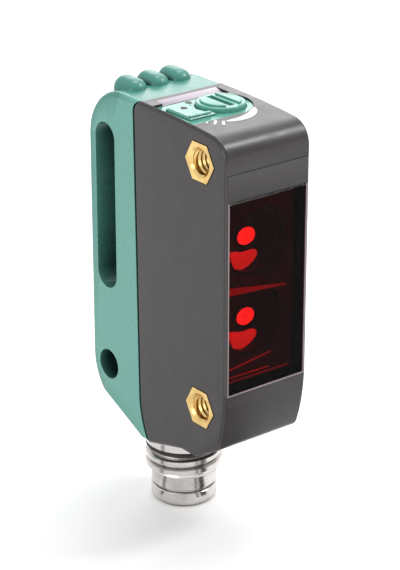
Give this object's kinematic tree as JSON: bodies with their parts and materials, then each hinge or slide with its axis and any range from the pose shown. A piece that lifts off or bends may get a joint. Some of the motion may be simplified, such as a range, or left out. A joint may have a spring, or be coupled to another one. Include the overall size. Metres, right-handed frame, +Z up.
{
  "type": "photoelectric sensor",
  "caption": "Miniature rectangular photoelectric sensor: two-part plastic housing, tinted lens window, threaded metal bushings, adjuster knob, teach key and M8 plug.",
  "frame": {"origin": "centre of the plain mounting hole in the rear shell, midway across the width", "axes": "+Z up along the housing, away from the connector; -Y towards the lens side; -X and +X towards the two mounting sides"},
  "size_m": [0.0104, 0.0221, 0.045],
  "materials": {
    "black_plastic": "fine satin texture",
    "green_plastic": "fine satin texture",
    "red_window": "polished tinted acrylic",
    "clear_lens": "polished clear acrylic",
    "green_clear": "polished translucent plastic",
    "rubber": "soft matte",
    "brass": "turned, bright",
    "nickel": "nickel plated, bright",
    "reflector": "mirror plated",
    "circuit_board": "solder mask",
    "dark_component": "moulded",
    "pale_component": "moulded",
    "gold": "gold plated",
    "spring_steel": "bright"
  },
  "bodies": {
    "housing": {"front_housing": "black_plastic", "rear_housing": "green_plastic", "front_window": "red_window", "window_seal": "rubber", "optics_carrier": "dark_component", "receiver_lens": "clear_lens", "emitter_lens": "clear_lens", "receiver_reflector": "reflector", "emitter_reflector": "reflector", "receiver_diode": "clear_lens", "emitter_diode": "clear_lens", "optics_board": "circuit_board", "main_board": "circuit_board", "board_link": "dark_component", "control_chip": "dark_component", "board_components": "pale_component", "control_board": "circuit_board", "power_led": "pale_component", "signal_led": "pale_component", "indicator_panel": "green_clear", "key_seal": "rubber", "key_switch": "dark_component", "knob_seal": "rubber", "rotary_switch": "dark_component", "lower_bushing": "brass", "upper_bushing": "brass", "connector_body": "nickel", "connector_seal": "rubber", "contact_carrier": "dark_component", "contact_leads": "gold", "contact_pin_1": "gold", "contact_pin_2": "gold", "contact_pin_3": "gold", "contact_pin_4": "gold"},
    "knob": {"mode_knob": "green_clear", "knob_clip": "spring_steel", "switch_rotor": "pale_component"},
    "key": {"teach_key": "green_clear", "switch_plunger": "pale_component"}
  },
  "joints": [
    {"name": "knob_turn", "type": "hinge", "parent": "housing", "child": "knob", "pos_m": [0.0009, -0.0108, 0.0295], "axis": [0, 0, 1], "range_deg": [-135, 135]},
    {"name": "key_press", "type": "slide", "parent": "housing", "child": "key", "axis": [0, 0, -1], "range_m": [0, 0.0004], "stiffness_N_per_m": 3000}
  ]
}
